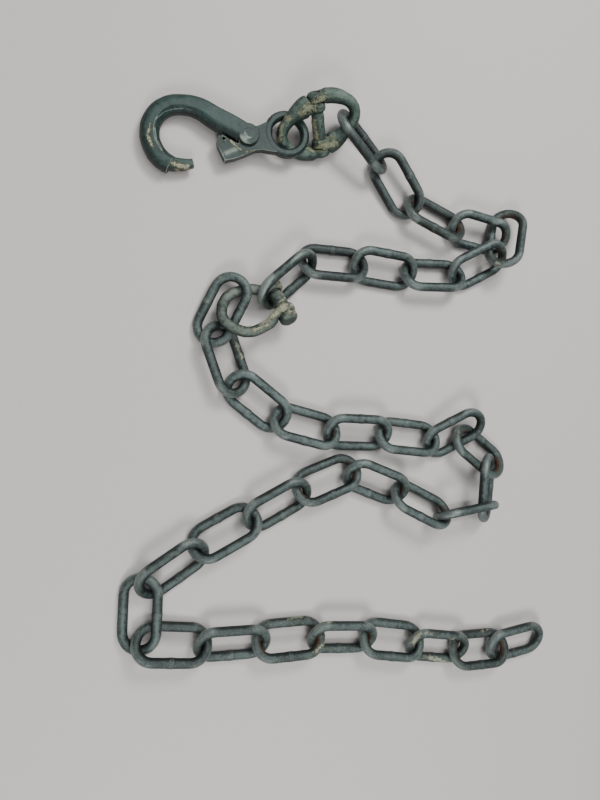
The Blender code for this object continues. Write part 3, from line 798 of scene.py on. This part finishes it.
@dataclass(frozen=True)
class Links:
    """The oval links: round bar bent to an oval and welded in the middle of one side."""

    bench: Bench
    finish: Finish
    count: int = 35
    length: float = 0.090
    width: float = 0.0485
    wire: float = 0.0111
    weld: float = 0.00042
    weld_profile: Sequence[Pair] = (
        (0.0012, 1.0), (0.0024, 0.72), (0.0040, 0.2), (0.0065, 0.0), (0.0120, 0.0))
    back_rings: Sequence[float] = (0.2, 0.4, 0.6, 0.8, 1.0)
    sides: int = 20
    bend_steps: int = 18
    merged: float = 0.00004
    uneven: float = 0.00022
    uneven_size: float = 0.011
    seed: int = 11
    heading: Place = (1.0, 0.1, 0.0)
    crown_from: float = 0.8
    rust_outside: float = 0.30
    rusty: Pair = (0.45, 1.0)
    soot: Graded = Graded(0.46, ((0.10, (4, 6, 11, 13, 14, 15, 16, 19, 21, 22, 27, 31, 32, 33, 35)),
                                 (0.85, (1, 2, 3, 9, 28, 34))), (0.0, 0.10))
    tint: Graded = Graded(0.12, ((0.80, (1, 2, 3)), (0.45, (5, 8, 9, 12, 23, 24, 26, 33))), (-0.12, 0.12))
    dirt: Graded = Graded(0.26, ((0.46, (30, 31, 32, 33, 34, 35)), (0.36, (10, 11, 12, 16, 27, 28, 29))))

    @property
    def bend(self) -> float:
        """Radius of a crown, to the middle of the bar."""
        return (self.width - self.wire) / 2

    @property
    def straight(self) -> float:
        """Half the length of a straight side."""
        return (self.length - self.width) / 2

    def make_one(self) -> Piece:
        """Bends and welds one link at the origin, lying flat with its length along X.

        Returns:
            The link.
        """
        bend, straight, radius = self.bend, self.straight, self.wire / 2
        Bench.clear_selection()
        bpy.ops.mesh.primitive_circle_add(vertices=self.sides, radius=radius, location=(0.0, -bend, 0.0),
                                          rotation=(0.0, math.pi / 2, 0.0))
        link = bpy.context.object
        bpy.ops.object.transform_apply(location=True, rotation=True, scale=True)
        Bench.open_up()
        bead = [(along, 1.0 + share * self.weld / radius) for along, share in self.weld_profile]
        swell = bead[0][1]
        bpy.ops.transform.resize(value=(1.0, swell, swell), center_override=(0.0, -bend, 0.0))
        self._draw_out(bead + [(straight, 1.0)], swell, -bend, 0.0)
        self._bend_round((straight, 0.0, 0.0))
        back = [(straight - part * 2 * straight, 1.0) for part in self.back_rings]
        self._draw_out(back, 1.0, bend, straight)
        self._bend_round((-straight, 0.0, 0.0))
        closing = [(-along, thick) for along, thick in reversed([(0.0, swell)] + bead)]
        self._draw_out(closing, 1.0, -bend, -straight)
        Bench.close_up(self.merged)
        bpy.ops.object.shade_smooth()
        return link

    @staticmethod
    def _draw_out(stations: Sequence[Pair], thick: float, side: float, start: float) -> None:
        """Extrudes the selected ring along X.

        Args:
            stations: where each new ring stands along X and how much thicker it is than the bar.
            thick: thickness of the ring that it starts from.
            side: where the bar's centre line is along Y.
            start: where the ring that it starts from stands along X.
        """
        here = start
        for along, scale in stations:
            bpy.ops.mesh.extrude_region_move(TRANSFORM_OT_translate={"value": (along - here, 0.0, 0.0)})
            ratio = scale / thick
            bpy.ops.transform.resize(value=(1.0, ratio, ratio), center_override=(along, side, 0.0))
            here, thick = along, scale

    def _bend_round(self, middle: Place) -> None:
        """Spins the selected ring half way round a crown."""
        bpy.ops.mesh.spin(steps=self.bend_steps, angle=-math.pi, center=middle, axis=(0.0, 0.0, 1.0))

    def pose_of(self, node: str) -> Matrix:
        """How a solid link lies, from the main axes of its points."""
        middle, (long, wide, _) = main_axes(node)
        if long.dot(Vector(self.heading)) < 0:
            long.negate()
        if wide.z < 0:
            wide.negate()
        turn = Matrix((long, wide, long.cross(wide).normalized())).transposed()
        return Matrix.Translation(middle) @ turn.to_4x4()

    def rust_of(self, points: Array, where: Matrix, amount: float) -> Array:
        """Rust gathers in the crowns, most of all on their inner side, where links rub and hold water."""
        local = (points - np.array(where.translation)) @ np.array(where.to_3x3())
        lengthwise = np.abs(local[:, 0])
        crown = rise(lengthwise, self.straight * self.crown_from, self.bend * self.crown_from)
        reach = np.hypot(np.maximum(lengthwise - self.straight, 0.0), local[:, 1])
        inner = np.clip((self.bend - reach) / (self.wire / 2) * 0.5 + 0.5, 0.0, 1.0)
        return crown * (self.rust_outside + (1.0 - self.rust_outside) * inner) * amount

    def build(self) -> None:
        """Makes every link and puts each one where its solid is."""
        chance = random.Random(self.seed)
        first = self.make_one()
        texture = bpy.data.textures.new("rolled_bar", "CLOUDS")
        texture.noise_scale = self.uneven_size
        for number in range(1, self.count + 1):
            node = f"link_{number:02d}"
            link = add_object(f"welded_{node}", first.data.copy())
            where = self.pose_of(node)
            turned = Euler((math.pi * chance.randint(0, 1), 0.0, math.pi * chance.randint(0, 1))).to_matrix()
            link.data.transform(where @ turned.to_4x4())
            Bench.apply(link, "DISPLACE", texture=texture, texture_coords="LOCAL", strength=self.uneven,
                        mid_level=MEAN)
            rust = self.rust_of(Bench.points(link.data), where, chance.uniform(*self.rusty))
            soot = self.soot.drawn(number, chance)
            soiling = Soiling(rust, self.tint.drawn(number, chance), soot, self.dirt.of(number))
            self.bench.complete(link, self.finish, soiling, node)
        bpy.data.objects.remove(first)


@dataclass(frozen=True)
class SafetyHook:
    """The hook body, its eye piece and the rivet that they turn on.

    The rows give the path of a bar and its half-width, in thousandths of the hook's reach.
    """

    bench: Bench
    body_finish: Finish
    eye_finish: Finish
    reach: float = 0.1075
    thickness: float = 0.020
    nose_thickness: float = 0.66
    tilt: float = math.radians(3.3)
    boss: float = 0.0120
    boss_ease: float = 0.0016
    hair: float = 0.0001
    slot: float = 0.0145
    slot_height: float = 0.0110
    bore: float = 0.0051
    bore_length: float = 0.06
    rim_share: float = 0.3
    disc_sides: int = 64
    swing: float = math.radians(5.0)
    play: float = 0.0006
    shank: float = 0.00495
    head_over: float = 0.0003
    head_height: float = 0.0006
    head: Sequence[Pair] = ((1.0, 0.0040), (0.8, 0.0056), (0.35, 0.0065), (0.0, 0.0068))
    head_ease: float = 0.0004
    rivet_sides: int = 40
    body_forging: Forging = Forging(0.00055, 3, 0.00035)
    eye_forging: Forging = Forging(0.0005, 7, 0.0003)
    rows: Sequence[Place] = (
        (0, 0, 113), (-149, 65, 116), (-335, 135, 115), (-530, 219, 104), (-688, 228, 97), (-847, 181, 96),
        (-958, 65, 98), (-1000, -93, 100), (-958, -251, 100), (-865, -358, 98), (-781, -400, 92))
    nose: Sequence[Place] = (
        (-850, -376, 68), (-778, -384, 64), (-700, -384, 58), (-625, -373, 50), (-556, -353, 42))
    section: Sequence[Pair] = (
        (1.00, 0.00), (0.985, 0.24), (0.93, 0.46), (0.82, 0.66), (0.66, 0.81), (0.44, 0.91), (0.20, 0.965),
        (-0.06, 0.99), (-0.30, 1.00), (-0.37, 0.985), (-0.43, 0.93), (-0.62, 0.74), (-0.80, 0.56),
        (-0.93, 0.40), (-0.985, 0.26), (-1.00, 0.10))
    nose_section: Sequence[Pair] = (
        (1.00, 0.00), (1.00, 0.55), (0.93, 0.78), (0.72, 0.94), (0.35, 1.00), (-0.35, 1.00), (-0.72, 0.94),
        (-0.93, 0.78), (-1.00, 0.55))

    def place(self) -> Matrix:
        """From the hook's own axes, with its pivot along Z, to the row frame."""
        low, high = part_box("hook_rivet")
        turn = Euler((0.0, -self.tilt, 0.0)).to_matrix().to_4x4()
        return Matrix.Translation((Vector(low) + Vector(high)) / 2) @ turn

    def _bar(self, name: str, rows: Sequence[Place], half: Sequence[Pair],
             thickness: float) -> Piece:
        """Draws one bar of the hook from its rows, and flattens it to its thickness."""
        unit = self.reach / 1000
        outline = list(half) + [(across, -level) for across, level in reversed(half) if level > 0.0]
        bar = self.bench.drawn_bar(name, [(x * unit, y * unit, r * unit) for x, y, r in rows], outline)
        for vertex in bar.data.vertices:
            vertex.co.z = max(-thickness / 2, min(thickness / 2, vertex.co.z))
        return bar

    def _round(self, radius: float, height: float, ease: float) -> Piece:
        """A disc about the pivot with eased rims."""
        half = height / 2
        part = ease * self.rim_share
        rim = ((half - ease, radius), (half - part, radius - part), (half, radius - ease))
        below = tuple((-level, wide) for level, wide in reversed(rim))
        return self.bench.turned("disc", below + rim, self.disc_sides)

    def body(self) -> Piece:
        """Forges the bent body: the bar, the slimmer nose, the boss, the slot and room for the eye piece.

        Returns:
            The hook body in the row frame.
        """
        hook = self._bar("forged_hook", self.rows, self.section, self.thickness)
        tip = self._bar("nose", self.nose, self.nose_section, self.thickness * self.nose_thickness)
        boss = self._round(self.boss, self.thickness + self.hair, self.boss_ease)
        self.bench.combine(hook, (tip, boss), "UNION")
        self.bench.combine(hook, (self._round(self.slot, self.slot_height, self.hair),
                                  self._round(self.bore, self.bore_length, self.hair)), "DIFFERENCE")
        room = self.bench.forged_copy("room_for_the_eye_piece", "hook_eye_piece")
        room.data.transform(Euler((0.0, 0.0, -self.swing)).to_matrix().to_4x4() @ self.place().inverted())
        self.bench.swell(room, np.full(len(room.data.vertices), self.play))
        self.bench.combine(hook, (room,), "DIFFERENCE")
        self.bench.forge(hook, self.body_forging)
        hook.data.transform(self.place())
        return hook

    def rivet(self) -> Piece:
        """Turns the rivet and sets its two low heads.

        Returns:
            The rivet in the row frame.
        """
        level = self.thickness / 2 + self.head_over
        half = [(level + self.head_height * share, radius) for share, radius in self.head]
        half.append((level, self.shank))
        profile = [(-height, radius) for height, radius in half] + half[::-1]
        rivet = self.bench.turned("domed_rivet", profile, self.rivet_sides)
        self.bench.apply(rivet, "BEVEL", width=self.head_ease, segments=2)
        self.bench.take(rivet)
        bpy.ops.object.shade_smooth()
        rivet.data.transform(self.place())
        return rivet

    def build(self) -> None:
        """Makes the three pieces and hands them over."""
        soiling = Soiling(rust=0.1, tint=0.05, soot=0.15)
        self.bench.complete(self.body(), self.body_finish, soiling, "hook_body", Body.HOOK)
        eye = self.bench.forged_copy("forged_eye_piece", "hook_eye_piece")
        self.bench.forge(eye, self.eye_forging)
        self.bench.complete(eye, self.eye_finish, Soiling(rust=0.12, tint=0.08, soot=0.50), "hook_eye_piece")
        self.bench.complete(self.rivet(), self.body_finish, Soiling(rust=0.1, tint=0.1), "hook_rivet")


@dataclass(frozen=True)
class CouplingLink:
    """Two forged halves that turn on one pin, which a bush in the middle holds.

    Sizes are in metres from the pin's axis or along it. A pair is where a form begins or ends, and the
    length over which it does so.
    """

    bench: Bench
    finish: Finish
    skin: float = 0.0002
    fuller: float = 0.0014
    arm_from: Pair = (0.008, 0.004)
    arm_to: Pair = (0.038, 0.012)
    trim: float = 0.0004
    outer_lug: Pair = (0.0246, 0.001)
    lug_from: Pair = (0.0058, 0.004)
    lug_to: float = 0.0112
    widen: float = 0.0072
    beside_pin: Pair = (0.0088, 0.0020)
    widen_to: Pair = (0.040, 0.026)
    reaches: Sequence[float] = (0.008, 0.016, 0.024, 0.032, 0.040)
    inner_sides: Sequence[float] = (0.0122, 0.0108, 0.0078, 0.0014, -0.006)
    outer_sides: Sequence[float] = (0.0257, 0.0248, 0.0229, 0.0198, 0.0148)
    caked: float = 0.0007
    rough_forging: Forging = Forging(0.0008, 12)
    last_forging: Forging = Forging(0.0005, 2, 0.0005)
    pin_forging: Forging = Forging(0.0004, 3)
    caked_forging: Forging = Forging(0.0004, 1, 0.0016)

    def _trim_outer_lug(self, mesh: Mesh, pin: Spindle) -> None:
        """Draws the outer lug in a little on the side away from its arm, less proud of the other half."""
        points = Bench.points(mesh)
        along, spoke, off_axis = pin.split(points)
        off_axis = off_axis + TINY
        crown = spoke[off_axis.argmax()] / off_axis.max()
        outside = rise(np.abs(along), *self.outer_lug)
        behind = np.clip(0.5 - (spoke @ crown) / off_axis, 0.0, 1.0)
        draw = outside * behind * self.trim * rise(off_axis, *self.lug_from) * (off_axis < self.lug_to)
        Bench.move(mesh, points - spoke / off_axis[:, None] * draw[:, None])

    def _widen_inner_arm(self, mesh: Mesh, pin: Spindle) -> None:
        """Draws the arm with the inner lug outwards beside the pin, level with the other half's outer lug."""
        points = Bench.points(mesh)
        along, spoke, off_axis = pin.split(points)
        off_axis = off_axis + TINY
        reach = spoke @ (spoke[off_axis.argmax()] / off_axis.max())
        inward = along * (-1.0 if along[np.abs(along).argmax()] > 0.0 else 1.0)
        inner_side = np.interp(reach, self.reaches, self.inner_sides)
        outer_side = np.interp(reach, self.reaches, self.outer_sides)
        share = rise(inward, inner_side, outer_side - inner_side)
        beside = rise(off_axis, *self.beside_pin) * (reach > 0.0)
        draw = self.widen * share * beside * smooth(fall(reach, *self.widen_to))
        outwards = pin.axis * (1.0 if inward @ along > 0.0 else -1.0)
        Bench.move(mesh, points + np.outer(draw, outwards))

    def _half(self, name: str, node: str, pin: Spindle) -> Piece:
        """Forges one half, with fuller arms than its solid has.

        Args:
            name: the new piece's name.
            node: the solid half.
            pin: the axis of the pin.

        Returns:
            The half in the row frame.
        """
        half = self.bench.forged_copy(name, node)
        self.bench.forge(half, self.rough_forging)
        _, _, off_axis = pin.split(Bench.points(half.data))
        arm = rise(off_axis, *self.arm_from) * fall(off_axis, *self.arm_to)
        self.bench.swell(half, self.skin + arm * self.fuller)
        self._trim_outer_lug(half.data, pin)
        self._widen_inner_arm(half.data, pin)
        self.bench.forge(half, self.last_forging)
        return half

    def build(self) -> None:
        """Makes the two halves, the pin and the bush."""
        pin = Spindle("coupling_load_pin")
        for side in ("half_right", "half_left"):
            node = f"coupling_{side}"
            half = self._half(f"forged_{side}", node, pin)
            self.bench.complete(half, self.finish, Soiling(rust=0.2, tint=0.20), node)
        for name, node in (("turned_load_pin", "coupling_load_pin"), ("sprung_bush", "coupling_bush")):
            piece = self.bench.forged_copy(name, node)
            self.bench.forge(piece, self.pin_forging)
            if node == "coupling_bush":
                self.bench.swell(piece, np.full(len(piece.data.vertices), self.caked))
                self.bench.forge(piece, self.caked_forging)
            self.bench.complete(piece, self.finish, Soiling(rust=0.25, tint=0.25), node)


@dataclass(frozen=True)
class BowShackle:
    """The shackle's forged bow and its headed bolt."""

    bench: Bench
    finish: Finish
    head_to_jaw: float = 0.0310
    jaw: Pair = (0.0092, 0.002)
    bow_caked: float = 0.0006
    bolt_caked: float = 0.0003
    shank_caked: float = 0.0024
    bow_forging: Forging = Forging(0.0009, 34)
    bolt_forging: Forging = Forging(0.0009, 2)
    last_forging: Forging = Forging(0.00055, 2, 0.0005)

    def _on_shank(self, points: Array) -> Array:
        """Which points of the bolt are on its shank between the two eyes, from 0 to 1."""
        along, _, off_axis = Spindle("shackle_bolt").split(points)
        if along[off_axis.argmax()] > 0.0:
            along = -along
        return fall(np.abs(along - along.min() - self.head_to_jaw), *self.jaw)

    def build(self) -> None:
        """Makes the bow and the bolt."""
        for name, node in (("forged_bow", "shackle_bow"), ("headed_bolt", "shackle_bolt")):
            piece = self.bench.forged_copy(name, node)
            bow = node == "shackle_bow"
            self.bench.forge(piece, self.bow_forging if bow else self.bolt_forging)
            points = Bench.points(piece.data)
            caked = self.bow_caked if bow else self.bolt_caked + self._on_shank(points) * self.shank_caked
            self.bench.swell(piece, np.zeros(len(points)) + caked)
            self.bench.forge(piece, self.last_forging)
            self.bench.complete(piece, self.finish, Soiling(rust=0.15, tint=0.1), node)


class Glow(Enum):
    """The kinds of light, each with the setting that softens it."""

    AREA = "size"
    SUN = "angle"


@dataclass(frozen=True)
class Lamp:
    """One light that looks at the middle of the floor."""

    name: str
    glow: Glow
    place: Place
    power: float
    softness: float

    def hang(self) -> None:
        """Adds the light."""
        light = bpy.data.lights.new(self.name, self.glow.name)
        light.energy = self.power
        setattr(light, self.glow.value, self.softness)
        holder = add_object(self.name, light)
        holder.location = self.place
        holder.rotation_mode = "QUATERNION"
        holder.rotation_quaternion = (-Vector(self.place)).to_track_quat("-Z", "Y")


@dataclass(frozen=True)
class Studio:
    """A plain pale floor, even light from above, and a soft lamp beyond each end of the chain."""

    floor_size: float = 40.0
    floor_colour: Colour = (0.64, 0.61, 0.58)
    floor_rough: float = 0.75
    air: Colour = (0.93, 0.96, 1.0)
    horizon: float = 0.55
    overhead: float = 0.20
    overhead_from: float = 0.45
    lamps: Sequence[Lamp] = (
        Lamp("lamp_beyond_the_hook", Glow.AREA, (0.30, 0.95, 1.25), 13.0, 0.45),
        Lamp("lamp_before_the_last_row", Glow.AREA, (-0.25, -1.10, 1.25), 12.0, 0.50),
        Lamp("ceiling_light", Glow.SUN, (0.12, 0.20, 1.0), 1.25, math.radians(50.0)))

    def build(self) -> None:
        """Adds the floor, the lights and the pale surroundings."""
        Bench.clear_selection()
        bpy.ops.mesh.primitive_plane_add(size=self.floor_size, location=(0.0, 0.0, 0.0))
        floor = bpy.context.object
        floor.name = "plain_floor"
        material = bpy.data.materials.new("pale_floor")
        Board(material).surface({"Base Color": (*self.floor_colour, 1.0), "Roughness": self.floor_rough})
        floor.data.materials.append(material)
        for lamp in self.lamps:
            lamp.hang()
        self._surroundings()

    def _surroundings(self) -> None:
        """Adds the pale room, lighter towards the horizon than overhead."""
        world = bpy.data.worlds.new("pale_room")
        board = Board(world)
        direction = board.node("ShaderNodeTexCoord", output="Generated")
        upward = board.node("ShaderNodeSeparateXYZ", inputs={0: direction}, output="Z")
        strength = board.node("ShaderNodeMapRange", inputs={0: upward, 1: 0.0, 2: self.overhead_from,
                                                            3: self.horizon, 4: self.overhead})
        room = board.node("ShaderNodeBackground", inputs={"Color": (*self.air, 1.0), "Strength": strength})
        board.node("ShaderNodeOutputWorld", inputs={"Surface": room})
        bpy.context.scene.world = world


LINK_STEEL = WornSteel("weathered_link_steel", deep=(0.015, 0.023, 0.022), body=(0.060, 0.090, 0.085),
                       light=(0.122, 0.166, 0.157), bright=(0.270, 0.320, 0.300), gloss=0.34, metal=0.45,
                       clay=(0.440, 0.475, 0.340))
HOOK_PAINT = WornSteel("old_hook_paint", deep=(0.003, 0.010, 0.009), body=(0.013, 0.041, 0.036),
                       light=(0.022, 0.058, 0.049), bright=(0.290, 0.350, 0.290), metal=0.10, gloss=0.32,
                       rusty=0.1, worn=0.62, dusty=0.12)
COUPLING_PAINT = WornSteel("coupling_paint", deep=(0.015, 0.034, 0.030), body=(0.058, 0.104, 0.090),
                           light=(0.112, 0.166, 0.134), bright=(0.260, 0.310, 0.235), metal=0.15, gloss=0.38,
                           rusty=0.25, dusty=0.60, caked=0.12, clay=(0.325, 0.350, 0.215))
SHACKLE_STEEL = WornSteel("shackle_steel", deep=(0.028, 0.044, 0.038), body=(0.092, 0.124, 0.106),
                          light=(0.178, 0.214, 0.178), bright=(0.300, 0.340, 0.280), metal=0.25, gloss=0.40,
                          rusty=0.15, dusty=0.62, caked=0.08, clay=(0.520, 0.525, 0.355))

# The wear streak from 272, 274 and the clay streaks at 207, 303 and 258, 301 are painted highlights on links
# 10 and 11; the other wear streaks and the clay streaks at 496, 263 and 357, 276 are pale spots, and the rest
# are clay.
LINK_MARKS_AND_HIGHLIGHTS = Marks(
    clay=streaks(
        (236, 341, 242, 357, 4.5, 0.92), (207, 303, 209, 299, 4.0, 0.52), (258, 301, 259, 296, 3.6, 0.62),
        (289, 618, 311, 614, 4.6, 0.97), (315, 652, 325, 643, 4.2, 0.97), (180, 663, 181, 664, 3.6, 0.82),
        (327, 623, 333, 621, 4.2, 0.92), (413, 643, 421, 633, 5.6, 1), (428, 657, 449, 663, 5.2, 1),
        (431, 634, 433, 634, 3.6, 0.92), (452, 639, 454, 640, 3.8, 0.92), (481, 632, 490, 629, 4.0, 0.62),
        (345, 648, 356, 647, 3.6, 0.52), (496, 263, 498, 264, 3.8, 1), (357, 276, 358, 277, 3.6, 0.62)),
    wear=streaks(
        (272, 274, 258, 299, 3.6, 0.72), (295, 258, 297, 257, 4.0, 0.72), (494, 223, 500, 222, 5.0, 0.52)))
HOOK_BODY_MARKS = Marks(
    clay=streaks(
        (174, 164, 187, 167, 6.5, 1.0), (176, 170, 180, 172, 3.6, 0.9), (150, 124, 148, 135, 3.0, 0.85),
        (148, 135, 152, 146, 3.4, 0.9), (244, 135, 245, 136, 3.6, 0.55)),
    wear=streaks(
        (154.8, 128, 156.4, 139, 2.6, 1.0), (156.4, 139, 162, 149, 2.4, 0.9),
        (154.8, 128, 156.8, 118, 2.6, 0.75), (156.8, 118, 164.5, 111.4, 2.4, 0.85),
        (164.5, 111.4, 173.5, 108.8, 2.4, 0.85), (173.5, 108.8, 183, 108.2, 2.4, 0.85),
        (183, 108.2, 191.5, 109.8, 2.4, 0.75), (191.5, 109.8, 200, 114, 2.4, 0.65),
        (200, 114, 210, 121.5, 2.4, 0.5), (210, 121.5, 226, 137, 2.4, 0.45), (244, 136, 246, 138, 9.0, 0.95),
        (236, 126, 240, 128, 4.0, 0.6)))
HOOK_EYE_MARKS = Marks(
    clay=streaks(
        (231, 141, 241, 150, 2.6, 1.0), (246, 152, 254, 150, 2.6, 0.6), (223, 139, 224, 140, 4.0, 0.8),
        (262, 150, 290, 158, 2.4, 0.25)),
    rust=streaks(
        (223, 139, 224, 140, 5.0, 0.9)),
    wear=streaks(
        (226, 153, 236, 149, 11.0, 0.85)))
COUPLING_MARKS = Marks(
    clay=streaks(
        (286, 117, 289, 119, 6.0, 0.95), (282, 125, 280, 140, 4.6, 0.75), (302, 112, 322, 98, 10.0, 0.78),
        (305, 106, 316, 110, 5.0, 0.7), (305, 125, 314, 125.5, 3.4, 0.8), (314, 120, 317, 137, 5.0, 0.8),
        (318, 148, 336, 143, 8.0, 0.80), (306, 148, 313, 151, 4.0, 0.7), (320, 96, 332, 94, 7.0, 0.40),
        (314, 136, 322, 144, 5.0, 0.7), (324, 138, 334, 136, 4.0, 0.5)),
    rust=streaks(
        (350, 107, 351, 113, 6.0, 0.8), (300, 122, 311, 130, 5.0, 0.8)),
    wear=streaks(
        (325, 93, 345, 98, 6.0, 0.6), (303, 109, 321, 100, 8.0, 0.4), (320, 146, 336, 141, 6.0, 0.4)))
SHACKLE_MARKS = Marks(
    clay=streaks(
        (281, 283, 286, 297, 9.0, 0.72), (281, 279, 282, 281, 3.6, 0.9), (281, 301, 291, 294, 3.0, 0.85),
        (292, 304, 300, 299, 6.0, 0.85), (288, 311, 297, 312, 6.0, 0.70), (284, 307, 262, 320, 9.0, 0.95),
        (268, 325, 254, 330, 4.4, 0.75), (249, 327, 238, 328, 4.0, 0.45), (298, 304, 301, 313, 4.0, 0.6)),
    wear=streaks(
        (224, 300, 230, 286, 5.0, 0.4), (262, 320, 240, 330, 7.0, 0.4), (283, 300, 297, 309, 8.0, 0.5)))


def main() -> None:
    """Builds the camera, the pieces in their order along the chain, and the studio."""
    logging.basicConfig(level=logging.INFO, format="%(name)s: %(message)s")
    view = PhotographView()
    view.stand_camera()
    bench = Bench(view)
    Links(bench, Finish(LINK_STEEL.material(), Slot.LINKS, LINK_MARKS_AND_HIGHLIGHTS)).build()
    paint = HOOK_PAINT.material()
    SafetyHook(bench, Finish(paint, Slot.HOOK, HOOK_BODY_MARKS),
               Finish(paint, Slot.HOOK, HOOK_EYE_MARKS)).build()
    CouplingLink(bench, Finish(COUPLING_PAINT.material(), Slot.COUPLING, COUPLING_MARKS)).build()
    BowShackle(bench, Finish(SHACKLE_STEEL.material(), Slot.SHACKLE, SHACKLE_MARKS)).build()
    Studio().build()


if __name__ == "__main__":
    main()
